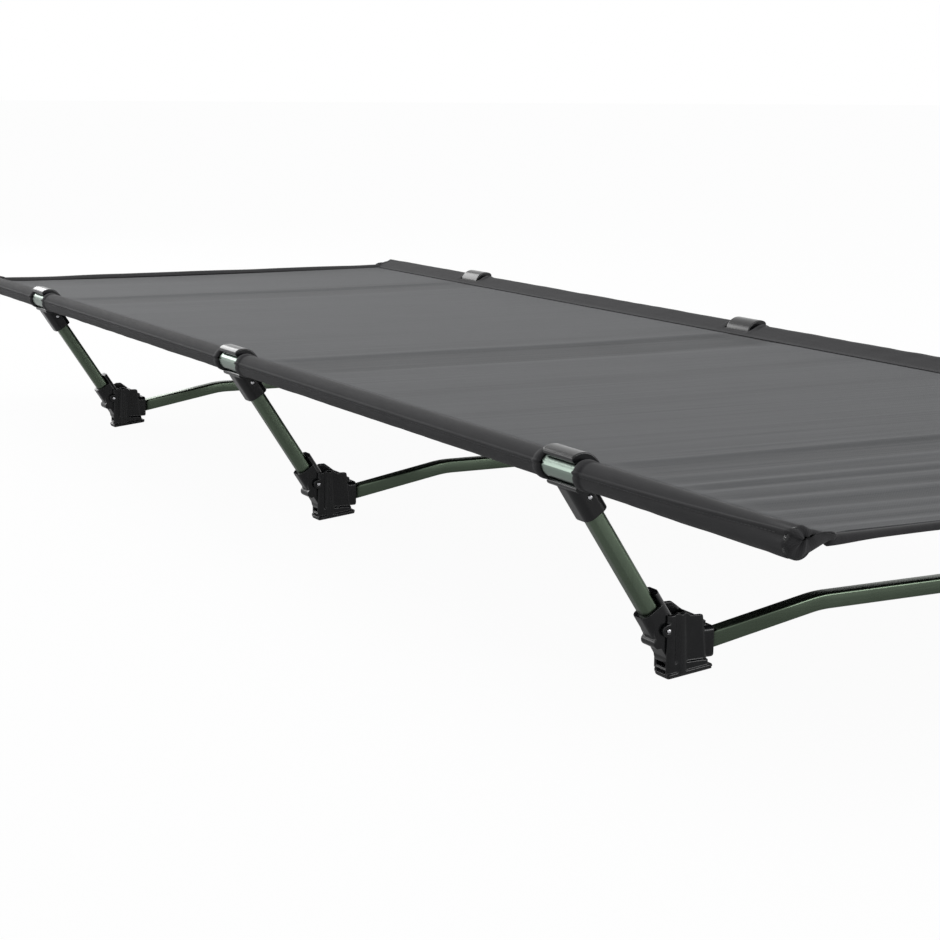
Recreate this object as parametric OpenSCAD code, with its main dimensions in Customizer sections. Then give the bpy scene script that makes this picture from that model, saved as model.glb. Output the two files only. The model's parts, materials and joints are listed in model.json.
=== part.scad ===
// Low take-down camp cot: a fabric deck on two side rails, carried by three
// bow-shaped legs. Millimetres, floor at z = 0, length along Y, width along X.
// Each leg has a crossbar between two hubs. A strut leans outwards from each
// hub to a clip on the rail, and turns inwards about the hub's pivot pin to
// let the deck go slack.

/* [Deck] */
// Length of the cot over its end caps
cot_length = 1900; // [1800:10:2100]
// Distance between the axes of the side rails
rail_spacing = 647; // [600:1:700]
// Height of the rail axes above the floor
rail_height = 172.5; // [160:0.5:190]
// Thickness of the deck fabric
fabric_thickness = 1.6; // [1:0.1:2.4]
// Distance from a rail axis to the seam where its sleeve meets the deck panel
seam_offset = 26; // [22:0.5:40]
// Thickness of a sleeve's wall round the rail
sleeve_wall = 1.2; // [0.8:0.1:2]
// Depth of the rolled hem at each end of the deck, along the length
hem_depth = 13; // [9:0.5:20]
// Height of the rolled hem
hem_height = 6; // [4:0.5:9]

/* [Side rails] */
// Outer diameter of a rail tube
rail_diameter = 19; // [16:0.5:22]
// Wall of a rail tube
rail_wall = 1.2; // [1:0.1:2]
// Number of tube sections in a rail
rail_sections = 5; // [3:2:7]
// Length of the ferrule that joins two sections
ferrule_length = 80; // [40:5:120]
// Wall of a ferrule
ferrule_wall = 1; // [0.8:0.1:1.5]
// Diameter of the shock cord in a rail
shock_cord_diameter = 3; // [2:0.5:5]
// Thickness of an end cap's flange
cap_flange = 3; // [2:0.5:5]
// Depth of an end cap's plug in the tube
cap_plug = 16; // [10:1:30]
// How far an end cap's flange stands out past the tube's wall
cap_overhang = 1.4; // [0.5:0.1:3]

/* [Legs] */
// Distance from each end of the cot to the leg nearest it
leg_inset = 285; // [240:5:350]
// Distance between the pivot pins of a leg's two hubs
pin_spacing = 473; // [440:1:500]
// Height of the pivot pins above the floor
pin_height = 39.3; // [37:0.1:45]
// Side of the rounded square strut tube
strut_size = 15; // [13:0.5:16]
// Corner radius of the strut tube
strut_corner = 4.5; // [3:0.1:6]
// Wall of the strut tube
strut_wall = 1.3; // [1:0.1:2]
// How far the strut stands outwards of the line from the rail axis to the pivot pin
strut_offset = 1; // [0:0.1:2]
// Side of the square crossbar tube
crossbar_size = 14; // [12:0.5:16]
// Wall of the crossbar tube
crossbar_wall = 1.3; // [1:0.1:2]
// Height of the crossbar's flat middle, at the tube's axis
crossbar_height = 44.2; // [42:0.1:50]
// Half length of the crossbar's flat middle
crossbar_flat = 82.5; // [60:0.5:110]
// Slope of the crossbar's ends
crossbar_slope = 10; // [8:0.5:11]
// Radius of the crossbar's bends at the tube's axis
crossbar_bend = 120; // [80:5:160]

/* [Rail clips] */
// Length of a clip along the rail
clip_length = 44; // [36:1:48]
// Thickness of the upper jaw
jaw_thickness = 7.2; // [5:0.1:9]
// Thickness of the lower lip
lip_thickness = 5.2; // [4:0.1:7]
// Where the upper jaw ends, above the outward horizontal
jaw_end_angle = 46; // [40:1:60]
// Where the lower lip ends, below the outward horizontal
lip_end_angle = 63; // [50:1:75]
// Width of a clip's strut socket across the strut
clip_socket_width = 22; // [20:0.5:26]
// Depth of a clip's strut socket along the rail
clip_socket_depth = 24; // [22:0.5:27]
// Distance from the rail axis to the open end of the strut socket
clip_socket_end = 41.5; // [36:0.5:50]
// Distance from the rail axis to the clip's rivet
clip_rivet_drop = 24.4; // [22:0.1:30]
// Length of the sleeve's window at a clip
window_length = 49; // [48.6:0.2:60]

/* [Hubs] */
// Width of a hub over its two cheeks
hub_width = 27.4; // [27:0.1:30]
// Thickness of a cheek
cheek_thickness = 3.4; // [3:0.1:3.7]
// Radius of the near cheek's ear about the pivot pin
ear_radius = 5.5; // [4:0.1:7]
// Height of the plinth that a hub's near face stands on
plinth_height = 12.5; // [10:0.5:15]
// How far the near face is set back above the plinth
face_recess = 1.2; // [0.5:0.1:1.4]
// Radius of the near face's inner upright edge
face_corner = 4.5; // [1:0.5:5]
// Height of a hub's column
column_height = 52.5; // [50:0.5:58]
// Height of a hub's flat wall
wall_height = 49.5; // [47:0.5:55]
// Height of the block that the crossbar enters
block_height = 43; // [42:0.5:46]
// Length of a foot plate along the width of the cot
plate_length = 43; // [41:0.5:46]
// Width of a foot plate along the length of the cot
plate_width = 29; // [28.6:0.1:34]
// Thickness of a foot plate
plate_thickness = 2.4; // [2:0.1:4]
// Radius of a foot plate's far outer corner
plate_corner = 13.5; // [4:0.5:14]
// Slope of a foot's sole: its inner end stands off the floor
sole_slope = 6; // [3:0.5:7]
// Thickness of the rubber pad under it
pad_thickness = 1.2; // [1:0.1:2]
// How far the pad is set in from the edge of the foot plate
pad_inset = 0.6; // [0.4:0.1:2]
// Radius of the pivot pin
pin_radius = 1.8; // [1.5:0.1:2.5]
// Radius of the rivets
rivet_radius = 2; // [1.5:0.1:2.5]

/* [Levers] */
// Width of a lever's socket across the strut
lever_width = 24.2; // [22.5:0.1:26]
// Radius of the lever's long edges
lever_corner = 6; // [2:0.5:7]
// How far the lever's socket stands up the strut from the pivot pin
lever_rim = 20; // [18:0.5:26]
// How far its inner tab stands up from the pivot pin
lever_tab = 31; // [28:0.5:38]
// Depth of the strut in the lever below the pivot pin
strut_depth = 7; // [4:0.5:9]

/* [Clearances] */
// Radial clearance of the clip on the rail and of the lever on its pin
running_gap = 0.05; // [0.02:0.01:0.1]
// Gap between bodies that move past each other
moving_gap = 0.3; // [0.2:0.05:0.6]
// Gap between pieces that are fixed together
fixed_gap = 0.1; // [0.05:0.05:0.2]

/* [Hidden] */
$fn = 72;
LEGS = ["head", "middle", "foot"];
SIDES = ["left", "right"];

// Colours of the materials
panel_grey = [0.42, 0.43, 0.43];
sleeve_grey = [0.22, 0.22, 0.23];
silver_green = [0.60, 0.67, 0.61];
anodised_green = [0.30, 0.36, 0.28];
gloss_black = [0.10, 0.10, 0.11];
bright_steel = [0.85, 0.85, 0.86];
rubber_black = [0.14, 0.14, 0.14];

// Rails, sleeves and deck
rail_x = rail_spacing / 2;
rail_radius = rail_diameter / 2;
rail_bore = rail_radius - rail_wall;
tube_end = cot_length / 2 - cap_flange;
section_length = 2 * tube_end / rail_sections;
sleeve_bore = rail_radius + fixed_gap;
sleeve_radius = sleeve_bore + sleeve_wall;
sleeve_end = tube_end - fixed_gap;
hem_ring_radius = sleeve_radius + 0.8;
hem_ring_length = 9;
seam_x = rail_x - seam_offset;
panel_end = cot_length / 2 - hem_depth;
ferrule_radius = rail_bore - fixed_gap;
cord_radius = shock_cord_diameter / 2;
cord_seat = cap_plug - 4;

// Legs
leg_spacing = cot_length / 2 - leg_inset;
leg_y = [leg_spacing, 0, -leg_spacing];
pin_x = pin_spacing / 2;
arm_length = norm([rail_x - pin_x, rail_height - pin_height]);
lean = atan((rail_x - pin_x) / (rail_height - pin_height));
strut_top = clip_rivet_drop - 9;
strut_bottom = arm_length + strut_depth;

// Hubs, measured from the pivot pin: outwards and upwards
sole_outer = -0.3;
sole_corner = 1.5;
slot_half = hub_width / 2 - cheek_thickness;
lever_half = slot_half - moving_gap;
cheek_outer = 0.6;
cheek_inner = -6.5;
back_outer = -4.5;
back_ear_radius = 9.5;
block_outer = -24;
wall_inner = -38.5;
wall_slant = 4;
collar_inner = -45;
collar_height = 26;
collar_width = 22;
collar_corner = 4;
column_x = -13;
column_radius = 7.4;
column_taper = 1.8;
column_bulge = 1.4;
crossbar_end = pin_x + block_outer - 3;
crossbar_rivet_x = pin_x + wall_inner + 6;
crossbar_rivet_length = hub_width / 2 + crossbar_size / 2 + 1;
clip_bore = rail_radius + running_gap;
tail_radius = 8;
tail_angle = 22;
tail_reach = pin_height - sole_top(-12) - 1.2 - tail_radius;
tail_x = -tail_reach * sin(tail_angle);
tail_drop = tail_reach * cos(tail_angle);
ridge_x = 6.5;
ridge_drop = 10.5;
ridge_radius = 4.5;

// Height of a foot plate's top, at a distance outwards of the pivot pin
function sole_top(x) =
    (sole_outer - x) * tan(sole_slope) + (pad_thickness + plate_thickness) / cos(sole_slope);
function crossbar_z(x) = crossbar_height - max(0, x - crossbar_flat) * tan(crossbar_slope);
function arc(r, from, to, steps) =
    [for (i = [0 : steps]) let (a = from + (to - from) * i / steps) [r * cos(a), r * sin(a)]];

module on_side(side) {
    mirror([side == "left" ? 1 : 0, 0, 0]) children();
}

module on_both_sides() {
    for (side = SIDES) on_side(side) children();
}

module at_leg(leg) {
    translate([0, leg_y[search([leg], LEGS)[0]], 0]) children();
}

// Local z runs up the strut to the rail axis, and local x outwards
module arm_frame() {
    translate([rail_x, 0, rail_height]) rotate([0, lean, 0]) children();
}

module pin_frame() {
    translate([pin_x, 0, pin_height]) children();
}

// A flat outline in the XZ plane, made into a slab along Y
module slab(width) {
    rotate([90, 0, 0]) linear_extrude(height = width, center = true) children();
}

module along_y(radius, length) {
    rotate([90, 0, 0]) cylinder(r = radius, h = length, center = true);
}

module rounded_square(width, depth, corner) {
    square([width - 2 * corner, depth], center = true);
    square([width, depth - 2 * corner], center = true);
    for (x = [-1, 1], y = [-1, 1])
        translate([x * (width / 2 - corner), y * (depth / 2 - corner)]) circle(r = corner);
}

module rounded_tube_outline(size, corner, wall) {
    difference() {
        rounded_square(size, size, corner);
        rounded_square(size - 2 * wall, size - 2 * wall, corner - wall);
    }
}

// ---- Deck ----

module deck_panel() {
    color(panel_grey)
        translate([-seam_x + fixed_gap, -panel_end, rail_height - fabric_thickness / 2])
        cube([2 * seam_x - fixed_gap - moving_gap, 2 * panel_end, fabric_thickness]);
}

module end_hem(end) {
    r = hem_height / 2;
    color(sleeve_grey)
        translate([-seam_x + fixed_gap, end * (panel_end + fixed_gap), rail_height])
        rotate([90, 0, 90])
        linear_extrude(height = 2 * seam_x - fixed_gap - moving_gap) {
            translate([end * (hem_depth - fixed_gap - r), 0]) circle(r = r);
            translate([end * (hem_depth - fixed_gap - r) / 2, 0])
                square([hem_depth - fixed_gap - r, hem_height], center = true);
        }
}

// The sleeve is a pocket round the rail that narrows to the seam
module sleeve_outline() {
    tangent = acos(sleeve_radius / seam_offset);
    half = fabric_thickness / 2;
    difference() {
        union() {
            circle(r = sleeve_radius);
            polygon([
                [-seam_offset, half],
                [-sleeve_radius * cos(tangent), sleeve_radius * sin(tangent)],
                [-sleeve_radius * cos(tangent), -sleeve_radius * sin(tangent)],
                [-seam_offset, -half]
            ]);
        }
        circle(r = sleeve_bore);
    }
}

module sleeve_segment(from, to) {
    translate([rail_x, (from + to) / 2, rail_height]) {
        slab(to - from) sleeve_outline();
        for (end = [-1, 1])
            translate([0, end * (to - from - hem_ring_length) / 2, 0])
                difference() {
                    along_y(hem_ring_radius, hem_ring_length);
                    along_y(sleeve_bore, hem_ring_length + 1);
                }
    }
}

module sleeve(side) {
    stops = concat([-sleeve_end], [for (i = [2, 1, 0], s = [-1, 1]) leg_y[i] + s * window_length / 2],
                   [sleeve_end]);
    color(sleeve_grey) on_side(side)
        for (i = [0 : 2 : 6]) sleeve_segment(stops[i], stops[i + 1]);
}

// ---- Side rails ----

module rail_tubes(side) {
    color(silver_green) on_side(side)
        for (i = [0 : rail_sections - 1])
            translate([rail_x, -tube_end + section_length * (i + 0.5), rail_height])
                difference() {
                    along_y(rail_radius, section_length - fixed_gap);
                    along_y(rail_bore, section_length + 1);
                }
}

module rail_ferrules(side) {
    color(silver_green) on_side(side)
        for (i = [1 : rail_sections - 1])
            translate([rail_x, -tube_end + section_length * i, rail_height])
                difference() {
                    along_y(ferrule_radius, ferrule_length);
                    along_y(ferrule_radius - ferrule_wall, ferrule_length + 1);
                }
}

module end_caps(side) {
    color(gloss_black) on_side(side)
        for (end = [-1, 1])
            translate([rail_x, 0, rail_height])
                difference() {
                    union() {
                        translate([0, end * (cot_length - cap_flange) / 2, 0])
                            along_y(rail_radius + cap_overhang, cap_flange);
                        translate([0, end * (tube_end - cap_plug / 2), 0])
                            along_y(rail_bore - fixed_gap, cap_plug);
                    }
                    translate([0, end * (tube_end - cap_plug + cord_seat / 2), 0])
                        along_y(cord_radius + fixed_gap, cord_seat + 0.01);
                }
}

module shock_cord(side) {
    color(rubber_black) on_side(side)
        translate([rail_x, 0, rail_height])
        along_y(cord_radius, 2 * (tube_end - cap_plug + cord_seat - fixed_gap));
}

// ---- Legs: crossbar and hubs ----

// Outline of the bow in the XZ plane, a given distance from the tube's axis
module bow_outline(reach, end) {
    flat = crossbar_flat - crossbar_bend * tan(crossbar_slope / 2);
    centre = [flat, crossbar_height - crossbar_bend];
    slope_length = (end - crossbar_flat) / cos(crossbar_slope);
    axis_end = [end, crossbar_height - slope_length * sin(crossbar_slope)];
    side = reach * [sin(crossbar_slope), cos(crossbar_slope)];
    half = concat(
        [for (p = arc(crossbar_bend + reach, 90, 90 - crossbar_slope, 6)) centre + p],
        [axis_end + side, axis_end - side],
        [for (p = arc(crossbar_bend - reach, 90 - crossbar_slope, 90, 6)) centre + p]
    );
    polygon(concat(half, [for (i = [len(half) - 1 : -1 : 0]) [-half[i][0], half[i][1]]]));
}

module crossbar(leg) {
    outer = crossbar_size / 2;
    inner = outer - crossbar_wall;
    color(anodised_green) at_leg(leg)
        difference() {
            slab(2 * outer) bow_outline(outer, crossbar_end);
            slab(2 * inner) bow_outline(inner, crossbar_end + 1);
            on_both_sides() crossbar_rivet(fixed_gap);
        }
}

// A blind rivet, put in from the back of the hub
module crossbar_rivet(gap) {
    translate([
        crossbar_rivet_x,
        (hub_width - crossbar_rivet_length) / 2,
        crossbar_z(crossbar_rivet_x)
    ])
        along_y(rivet_radius + gap, crossbar_rivet_length + 2 * gap);
}

// Outlines of the cheeks, measured from the pivot pin: the one towards the
// foot end has the column and the flat wall, and the other slopes down
function sunk(x) = sole_top(x) - 1 - pin_height;

module front_cheek_outline() {
    column_top = column_height - pin_height;
    wall_top = wall_height - pin_height;
    circle(r = ear_radius);
    polygon([
        [cheek_outer - cheek_thickness, sunk(cheek_outer - cheek_thickness)],
        [cheek_outer - cheek_thickness, column_top - 1.2],
        [column_x + 4, column_top],
        [column_x - 4, column_top],
        [column_x - 9, wall_top],
        [wall_inner + wall_slant + 4, wall_top],
        [wall_inner + wall_slant + 1.2, wall_top - 1],
        [wall_inner + wall_slant, wall_top - 4],
        [wall_inner, sunk(wall_inner)]
    ]);
}

module back_cheek_outline() {
    block_top = block_height - pin_height;
    circle(r = back_ear_radius);
    polygon([
        [back_outer, sunk(back_outer)],
        [back_outer, back_ear_radius],
        [back_outer - 3.5, block_top + 11.5],
        [back_outer - 7.5, block_top + 13],
        [back_outer - 13.5, block_top + 13],
        [block_outer + 1, block_top + 9.3],
        [block_outer - 7, block_top + 3.1],
        [wall_inner, block_top - 0.5],
        [wall_inner, sunk(wall_inner)]
    ]);
}

module hub(leg, side) {
    color(gloss_black) at_leg(leg) on_side(side)
        difference() {
            union() {
                hub_walls();
                hub_edge();
                hub_column();
                foot_plate();
                crossbar_collar();
            }
            lever_slot();
            crossbar_socket();
            pin_frame() along_y(pin_radius + running_gap, hub_width + 10);
            crossbar_rivet(fixed_gap);
        }
}

// The walls, with the near face set back above its plinth
module hub_walls() {
    slant = atan(wall_slant / (wall_height - 4 - sole_top(wall_inner)));
    rise = plinth_height - pin_height;
    pin_frame() difference() {
        union() {
            translate([0, cheek_thickness / 2, 0])
                slab(hub_width - cheek_thickness) back_cheek_outline();
            translate([0, (cheek_thickness - hub_width) / 2, 0])
                slab(cheek_thickness) front_cheek_outline();
        }
        translate([wall_inner - 1, -slot_half, wall_height - 0.5 - pin_height])
            cube([block_outer + 1 - wall_inner, 2 * slot_half, column_height]);
        translate([wall_inner - 10, -hub_width / 2 - 10, rise])
            cube([cheek_inner - wall_inner + 10, 10 + face_recess, column_height]);
        translate([wall_inner, face_recess - hub_width / 2, rise]) rotate([0, slant, 0])
            difference() {
                translate([-3, -3, 0]) cube([face_corner + 3, face_corner + 3, column_height]);
                translate([face_corner, face_corner, -1]) cylinder(r = face_corner, h = column_height + 2);
            }
    }
}

// The rounded outer edge of the near cheek
module hub_edge() {
    bottom = sunk(cheek_outer - cheek_thickness);
    pin_frame() translate([cheek_outer - cheek_thickness, -slot_half, bottom]) difference() {
        cylinder(r = cheek_thickness, h = column_height - 1.2 - pin_height - bottom);
        translate([-cheek_thickness - 1, 0, -1])
            cube([2 * cheek_thickness + 2, cheek_thickness + 1, column_height]);
    }
}

module hub_column() {
    bottom = sole_top(column_x) - 1;
    translate([pin_x + column_x, column_radius - column_bulge - hub_width / 2, bottom])
        cylinder(r1 = column_radius, r2 = column_radius - column_taper, h = column_height - 1 - bottom);
}

// A sole's frame starts at the pad's outer edge on the floor, and slopes with it
module sole_frame() {
    translate([pin_x + sole_outer, 0, 0]) rotate([0, sole_slope, 0]) children();
}

module sole_outline(inset) {
    long = plate_length - 2 * inset;
    half = plate_width / 2 - inset;
    tight = sole_corner;
    far = plate_corner - inset;
    polygon(concat(
        [for (p = arc(tight, -90, 0, 4)) p + [-tight, tight - half]],
        [for (p = arc(far, 0, 90, 12)) p + [-far, half - far]],
        [for (p = arc(tight, 90, 180, 4)) p + [tight - long, half - tight]],
        [for (p = arc(tight, 180, 270, 4)) p + [tight - long, tight - half]]
    ));
}

module foot_plate() {
    sole_frame() translate([pad_inset, 0, pad_thickness])
        linear_extrude(height = plate_thickness) sole_outline(0);
}

module crossbar_collar() {
    reach = wall_inner - collar_inner + 4;
    translate([pin_x + collar_inner, 0, crossbar_z(pin_x + collar_inner)])
        rotate([90, 0, 90]) linear_extrude(height = reach)
        rounded_square(collar_width, collar_height, collar_corner);
}

// The room between the cheeks where the lever turns
module lever_slot() {
    translate([pin_x + block_outer, -slot_half, sole_top(block_outer)])
        cube([60, 2 * slot_half, column_height]);
}

module crossbar_socket() {
    outer = crossbar_size / 2 + fixed_gap;
    slab(2 * outer) bow_outline(outer, crossbar_end + fixed_gap);
}

module ground_pads(leg) {
    color(rubber_black) at_leg(leg) on_both_sides()
        sole_frame() linear_extrude(height = pad_thickness) sole_outline(pad_inset);
}

module pivot_pins(leg) {
    color(bright_steel) at_leg(leg) on_both_sides() pin_frame()
        along_y(pin_radius, hub_width + 1.6);
}

module crossbar_rivets(leg) {
    color(bright_steel) at_leg(leg) on_both_sides() crossbar_rivet(0);
}

// ---- Legs: lever, strut and clip ----

// The lever's ear, its tail and its thumb ridge
module lever_outline() {
    ear = 11;
    circle(r = ear);
    // the tail turns outwards over the foot plate
    translate([tail_x, -tail_drop]) circle(r = tail_radius);
    polygon([
        [tail_x + tail_radius, -tail_drop],
        [ear * cos(30), -ear * sin(30)],
        [-ear, 0],
        [tail_x - tail_radius, -tail_drop]
    ]);
    // thumb ridge
    translate([ridge_x, -ridge_drop]) circle(r = ridge_radius);
}

// A length of the lever's round-edged body, measured down from the rail's axis
module lever_body(from, to) {
    arm_frame() translate([0, 0, -to]) linear_extrude(height = to - from)
        rounded_square(lever_width, 2 * lever_half, lever_corner);
}

module strut_bore(from, to) {
    side = strut_size + 2 * fixed_gap;
    translate([strut_offset, 0, -to]) linear_extrude(height = to - from)
        rounded_square(side, side, strut_corner + fixed_gap);
}

module lever(leg, side) {
    color(gloss_black) at_leg(leg) on_side(side)
        difference() {
            union() {
                pin_frame() slab(2 * lever_half) lever_outline();
                lever_body(arm_length - lever_rim, arm_length + 3);
                difference() {
                    lever_body(arm_length - lever_tab, arm_length - lever_rim + 1);
                    arm_frame() translate([strut_offset - strut_size / 2 - fixed_gap, -lever_width, lever_rim - arm_length])
                        cube([lever_width, 2 * lever_width, lever_tab]);
                }
            }
            arm_frame() strut_bore(arm_length - lever_tab - 1, strut_bottom + fixed_gap);
            pin_frame() along_y(pin_radius + running_gap, hub_width);
        }
}

module strut(leg, side) {
    color(anodised_green) at_leg(leg) on_side(side)
        difference() {
            arm_frame() translate([strut_offset, 0, -strut_bottom])
                linear_extrude(height = strut_bottom - strut_top)
                rounded_tube_outline(strut_size, strut_corner, strut_wall);
            pin_frame() along_y(pin_radius + running_gap, hub_width);
            arm_frame() translate([0, 0, -clip_rivet_drop])
                along_y(rivet_radius + fixed_gap, hub_width);
        }
}

// The clip's C, with angles measured from the outward horizontal
module clip_outline() {
    jaw_radius = clip_bore + jaw_thickness;
    lip_radius = clip_bore + lip_thickness;
    jaw_tip = 16;
    lip_tip = 12;
    turn = lean;
    rotate(turn) {
        polygon(concat(
            [[0, 0]],
            arc(jaw_radius, jaw_end_angle + jaw_tip, 215, 22),
            arc(lip_radius, 225, 360 - lip_end_angle - lip_tip, 12)
        ));
        rotate(jaw_end_angle + jaw_tip) translate([clip_bore + jaw_thickness / 2, 0])
            circle(r = jaw_thickness / 2 - 0.2);
        rotate(-lip_end_angle - lip_tip) translate([clip_bore + lip_thickness / 2, 0])
            circle(r = lip_thickness / 2 - 0.2);
    }
}

module clip(leg, side) {
    color(gloss_black) at_leg(leg) on_side(side) arm_frame()
        difference() {
            union() {
                slab(clip_length) clip_outline();
                translate([strut_offset, 0, -clip_socket_end])
                    linear_extrude(height = clip_socket_end - rail_radius)
                    rounded_square(clip_socket_width, clip_socket_depth, 7);
            }
            along_y(clip_bore, clip_length + 1);
            strut_bore(strut_top - fixed_gap, clip_socket_end + 1);
            translate([0, 0, -clip_rivet_drop])
                along_y(rivet_radius + fixed_gap, clip_socket_depth + 1);
        }
}

module clip_rivet(leg, side) {
    color(bright_steel) at_leg(leg) on_side(side) arm_frame()
        translate([0, 0, -clip_rivet_drop]) along_y(rivet_radius, clip_socket_depth + 0.8);
}

deck_panel();
end_hem(1);  // head_hem
end_hem(-1);  // foot_hem
for (side = SIDES) {
    sleeve(side);
    rail_tubes(side);
    rail_ferrules(side);
    end_caps(side);
    shock_cord(side);
}
for (leg = LEGS) {
    crossbar(leg);
    ground_pads(leg);
    pivot_pins(leg);
    crossbar_rivets(leg);
    for (side = SIDES) {
        hub(leg, side);
        lever(leg, side);
        strut(leg, side);
        clip(leg, side);
        clip_rivet(leg, side);
    }
}
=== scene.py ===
# A low folding camp cot: a fabric deck sewn round two tube rails and held taut
# by three bow-shaped legs. Metres, floor at z = 0, +Y to the head end.
import json
import math

import bmesh
import bpy
import numpy as np
from mathutils import Matrix, Vector, noise


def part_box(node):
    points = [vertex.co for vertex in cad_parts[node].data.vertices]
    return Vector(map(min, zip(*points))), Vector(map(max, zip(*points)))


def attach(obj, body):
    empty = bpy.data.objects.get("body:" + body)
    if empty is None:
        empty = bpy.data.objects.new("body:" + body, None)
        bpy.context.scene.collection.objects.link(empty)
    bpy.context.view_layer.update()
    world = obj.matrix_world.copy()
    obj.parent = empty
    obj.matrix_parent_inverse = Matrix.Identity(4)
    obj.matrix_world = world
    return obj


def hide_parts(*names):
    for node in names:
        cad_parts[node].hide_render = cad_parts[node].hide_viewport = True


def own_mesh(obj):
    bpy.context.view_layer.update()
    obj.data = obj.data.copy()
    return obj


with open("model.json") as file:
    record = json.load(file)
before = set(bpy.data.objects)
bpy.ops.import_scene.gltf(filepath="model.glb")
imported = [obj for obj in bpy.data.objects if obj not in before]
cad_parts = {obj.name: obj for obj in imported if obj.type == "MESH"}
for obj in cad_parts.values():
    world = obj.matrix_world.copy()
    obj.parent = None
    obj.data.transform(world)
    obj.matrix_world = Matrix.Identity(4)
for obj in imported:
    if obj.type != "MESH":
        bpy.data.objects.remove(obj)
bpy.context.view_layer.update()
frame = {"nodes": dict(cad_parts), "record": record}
scene = bpy.context.scene

# ---- Camera ----
# A long lens near the floor, off the foot end's left corner, looking up the cot.
# It leans a little to one side, as a hand-held camera does.
camera_place = Vector((-1.1208, -1.9827, 0.4592))
camera_turn = math.radians(28.4293)
camera_dip = math.radians(10.6023)
camera_lean = math.radians(0.5952)
lens_length = 79.36


def in_scene(name, data):
    """A new object that holds a mesh, a light or a camera, placed in the scene."""
    made = bpy.data.objects.new(name, data)
    scene.collection.objects.link(made)
    return made


ahead = Vector((math.sin(camera_turn) * math.cos(camera_dip),
                math.cos(camera_turn) * math.cos(camera_dip),
                -math.sin(camera_dip)))
level = Vector((math.cos(camera_turn), -math.sin(camera_turn), 0.0))
upward = level.cross(ahead)
camera_right = level * math.cos(camera_lean) + upward * math.sin(camera_lean)
camera_up = upward * math.cos(camera_lean) - level * math.sin(camera_lean)
camera_data = bpy.data.cameras.new("camera")
camera_data.lens = lens_length
camera_data.sensor_width = 36.0
camera_data.clip_end = 200.0
camera = in_scene("camera", camera_data)
turned = Matrix((camera_right, camera_up, -ahead)).transposed()
camera.matrix_world = Matrix.Translation(camera_place) @ turned.to_4x4()
scene.camera = camera

# ---- Floor and studio light ----
# A pale seamless floor under a white surround. A broad panel overhead and one
# beyond the head end light the cot, and two low ones pick out its edges.
scene.view_settings.view_transform = "Standard"
surround_fill = 0.55
surround_tint = (0.97, 0.985, 1.0, 1.0)
pure_white = (1.0, 1.0, 1.0, 1.0)
floor_grey = (0.6, 0.6, 0.6, 1.0)
floor_glow = 1.03
floor_glow_share = 0.93
floor_mirrored = 0.3
floor_reach = 40.0
# name, place, the point it faces, width, height, power
light_panels = (("overhead_panel", (0.4, 0.4, 2.5), (0.0, 0.0, 0.2), 2.6, 2.6, 16.0),
                ("head_panel", (-0.7, 3.4, 1.4), (0.0, 0.2, 0.3), 2.4, 1.1, 34.0),
                ("right_panel", (1.5, -3.2, 0.55), (0.0, -0.4, 0.15), 1.6, 0.8, 22.0),
                ("left_panel", (-2.2, 1.6, 0.6), (-0.3, 0.5, 0.3), 1.2, 0.8, 7.0))


def fed(tree, node, inputs):
    """Gives each input its value, or links it to another node's socket."""
    for label, value in inputs.items():
        if isinstance(value, bpy.types.NodeSocket):
            tree.links.new(value, node.inputs[label])
        else:
            node.inputs[label].default_value = value
    return node


def added(tree, kind, inputs=None, **traits):
    """A new node with its own settings and its inputs fed."""
    node = tree.nodes.new(kind)
    for trait, value in traits.items():
        setattr(node, trait, value)
    return fed(tree, node, inputs or {})


def worked(tree, operation, *terms):
    """A Math node on sockets or numbers, and its result."""
    return added(tree, "ShaderNodeMath", dict(enumerate(terms)), operation=operation).outputs[0]


def times(tree, *terms):
    return worked(tree, "MULTIPLY", *terms)


def seen_directly(tree, mirrored):
    """1 for rays that show the surround itself, and less for ones mirrored in the cot."""
    path = added(tree, "ShaderNodeLightPath").outputs
    either = worked(tree, "MAXIMUM", path["Is Camera Ray"], times(tree, path["Is Glossy Ray"], mirrored))
    return worked(tree, "MAXIMUM", either, path["Is Transmission Ray"])


world = bpy.data.worlds.new("studio")
world.use_nodes = True
scene.world = world
tree = world.node_tree
tree.nodes.clear()
fill = added(tree, "ShaderNodeBackground", {"Color": surround_tint, "Strength": surround_fill})
white = added(tree, "ShaderNodeBackground", {"Color": pure_white, "Strength": 1.0})
either_way = added(tree, "ShaderNodeMixShader",
                   {"Fac": seen_directly(tree, 1.0), 1: fill.outputs[0], 2: white.outputs[0]})
added(tree, "ShaderNodeOutputWorld", {"Surface": either_way.outputs[0]})

floor_mesh = bpy.data.meshes.new("floor")
floor_corners = [(x * floor_reach, y * floor_reach, 0.0) for x, y in ((-1, -1), (1, -1), (1, 1), (-1, 1))]
floor_mesh.from_pydata(floor_corners, [], [(0, 1, 2, 3)])
floor = in_scene("floor", floor_mesh)
floor_paint = bpy.data.materials.new("floor_paper")
floor_paint.use_nodes = True
tree = floor_paint.node_tree
tree.nodes.clear()
paper = added(tree, "ShaderNodeBsdfDiffuse", {"Color": floor_grey})
glow = added(tree, "ShaderNodeEmission", {"Color": pure_white, "Strength": floor_glow})
glow_share = times(tree, seen_directly(tree, floor_mirrored), floor_glow_share)
both = added(tree, "ShaderNodeMixShader", {"Fac": glow_share, 1: paper.outputs[0], 2: glow.outputs[0]})
added(tree, "ShaderNodeOutputMaterial", {"Surface": both.outputs[0]})
floor_mesh.materials.append(floor_paint)

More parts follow.
